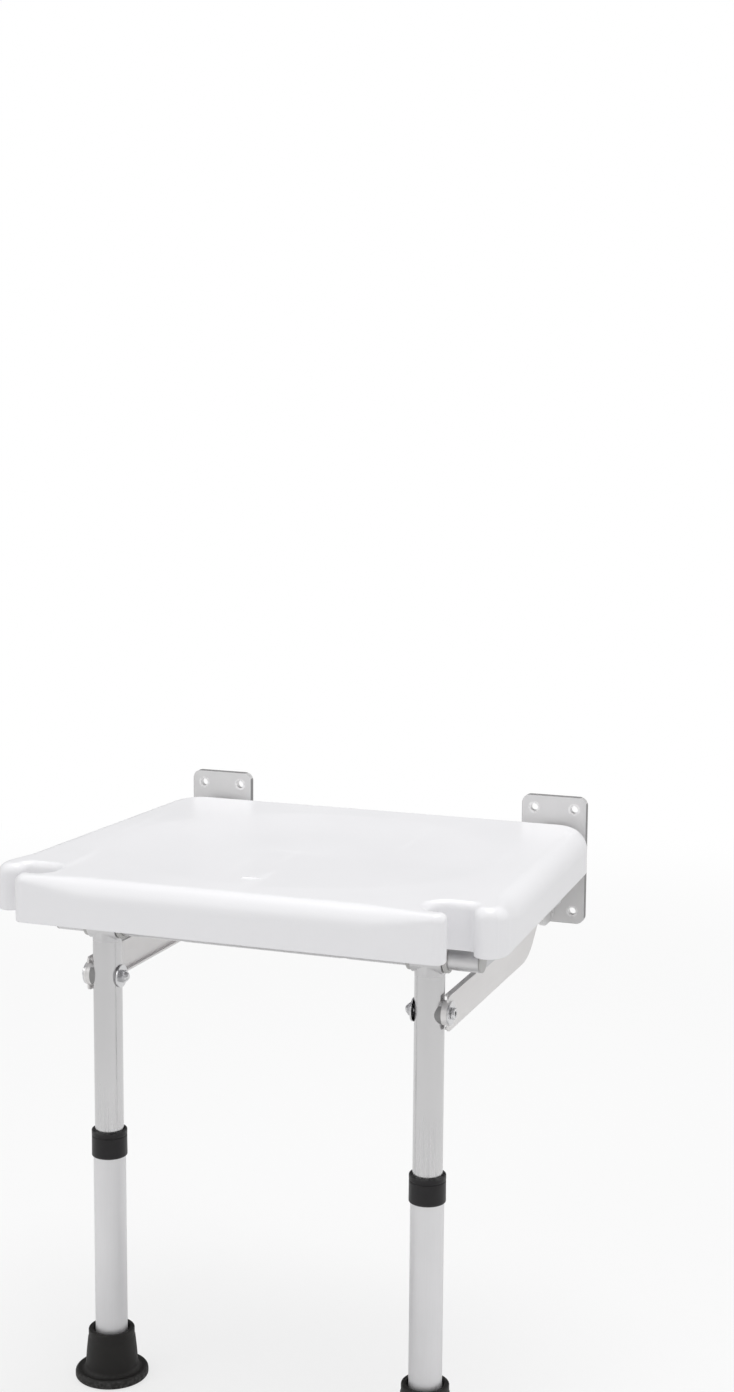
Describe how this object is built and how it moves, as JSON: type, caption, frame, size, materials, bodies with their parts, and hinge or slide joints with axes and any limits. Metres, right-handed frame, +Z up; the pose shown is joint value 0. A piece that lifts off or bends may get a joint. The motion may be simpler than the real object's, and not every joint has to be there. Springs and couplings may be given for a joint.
{
  "type": "folding shower seat",
  "caption": "Wall-mounted shower seat on a hinged frame: it folds up flat, linked telescopic front legs stay upright and lock by snap buttons",
  "frame": {"origin": "on the floor, midway between the sides and midway between the wall face and the seat's front edge", "axes": "+Z up, +Y towards the wall, +X to the right of someone who faces the wall"},
  "size_m": [0.4544, 0.397, 0.4983],
  "materials": {
    "white_board": "smooth moulded white plastic",
    "white_blocks": "moulded white plastic",
    "satin_brackets": "satin",
    "satin_frame": "satin anodised",
    "light_anodised": "satin anodised, lighter",
    "bright_fasteners": "bright zinc plated",
    "nylon": "plain nylon",
    "black_plastic": "moulded black plastic",
    "black_rubber": "moulded black rubber",
    "spring_steel": "plain spring steel"
  },
  "bodies": {
    "wall": {"left_wall_bracket": "satin_brackets", "right_wall_bracket": "satin_brackets", "seat_hinge_bolts": "bright_fasteners", "seat_hinge_nuts": "bright_fasteners", "seat_hinge_washers": "nylon", "link_hinge_bolts": "bright_fasteners", "link_hinge_nuts": "bright_fasteners", "link_hinge_washers": "nylon"},
    "seat": {"seat_board": "white_board", "front_cross_tube": "satin_frame", "left_side_rail": "satin_frame", "right_side_rail": "satin_frame", "rear_cross_bar": "satin_frame", "left_hinge_lug": "satin_brackets", "right_hinge_lug": "satin_brackets", "rail_end_plugs": "nylon", "tube_end_plugs": "nylon", "saddle_blocks": "white_blocks", "front_seat_screws": "bright_fasteners", "rear_seat_screws": "bright_fasteners", "seat_hinge_bushes": "nylon", "leg_locating_rings": "nylon"},
    "left_arm": {"left_link": "light_anodised", "left_link_bushes": "nylon"},
    "left_leg": {"left_upper_tube": "satin_frame", "left_leg_head": "satin_frame", "left_head_liner": "nylon", "left_saddle_spacer": "satin_frame", "left_pivot_bolt": "bright_fasteners", "left_pivot_nut": "bright_fasteners", "left_pivot_washers": "bright_fasteners", "left_snap_spring": "spring_steel"},
    "left_lower_leg": {"left_lower_tube": "light_anodised", "left_collar": "black_plastic", "left_foot": "black_rubber", "left_foot_disc": "spring_steel"},
    "left_snap": {"left_button": "bright_fasteners"},
    "right_arm": {"right_link": "light_anodised", "right_link_bushes": "nylon"},
    "right_leg": {"right_upper_tube": "satin_frame", "right_leg_head": "satin_frame", "right_head_liner": "nylon", "right_saddle_spacer": "satin_frame", "right_pivot_bolt": "bright_fasteners", "right_pivot_nut": "bright_fasteners", "right_pivot_washers": "bright_fasteners", "right_snap_spring": "spring_steel"},
    "right_lower_leg": {"right_lower_tube": "light_anodised", "right_collar": "black_plastic", "right_foot": "black_rubber", "right_foot_disc": "spring_steel"},
    "right_snap": {"right_button": "bright_fasteners"}
  },
  "joints": [
    {"name": "seat_fold", "type": "hinge", "parent": "wall", "child": "seat", "pos_m": [0, 0.1685, 0.455], "axis": [-1, 0, 0], "range_deg": [0, 90]},
    {"name": "left_link_hinge", "type": "hinge", "parent": "wall", "child": "left_arm", "pos_m": [-0.165, 0.1685, 0.408], "axis": [-1, 0, 0], "range_deg": [0, 90]},
    {"name": "left_leg_hinge", "type": "hinge", "parent": "seat", "child": "left_leg", "pos_m": [-0.148, -0.105, 0.4165], "axis": [-1, 0, 0], "range_deg": [-90, 0]},
    {"name": "left_leg_slide", "type": "slide", "parent": "left_leg", "child": "left_lower_leg", "axis": [0, 0, -1], "range_m": [-0.04, 0.08]},
    {"name": "left_button_press", "type": "slide", "parent": "left_leg", "child": "left_snap", "axis": [0, -1, 0], "range_m": [0, 0.005], "stiffness_N_per_m": 1500, "springref_m": -0.002, "deforming": ["left_snap_spring"]},
    {"name": "right_link_hinge", "type": "hinge", "parent": "wall", "child": "right_arm", "pos_m": [0.165, 0.1685, 0.408], "axis": [-1, 0, 0], "range_deg": [0, 90]},
    {"name": "right_leg_hinge", "type": "hinge", "parent": "seat", "child": "right_leg", "pos_m": [0.148, -0.105, 0.4165], "axis": [-1, 0, 0], "range_deg": [-90, 0]},
    {"name": "right_leg_slide", "type": "slide", "parent": "right_leg", "child": "right_lower_leg", "axis": [0, 0, -1], "range_m": [-0.04, 0.08]},
    {"name": "right_button_press", "type": "slide", "parent": "right_leg", "child": "right_snap", "axis": [0, -1, 0], "range_m": [0, 0.005], "stiffness_N_per_m": 1500, "springref_m": -0.002, "deforming": ["right_snap_spring"]}
  ],
  "couplings": [
    {"joint": "left_link_hinge", "follows": "seat_fold", "ratio": 1},
    {"joint": "left_leg_hinge", "follows": "seat_fold", "ratio": -1},
    {"joint": "right_link_hinge", "follows": "seat_fold", "ratio": 1},
    {"joint": "right_leg_hinge", "follows": "seat_fold", "ratio": -1}
  ]
}
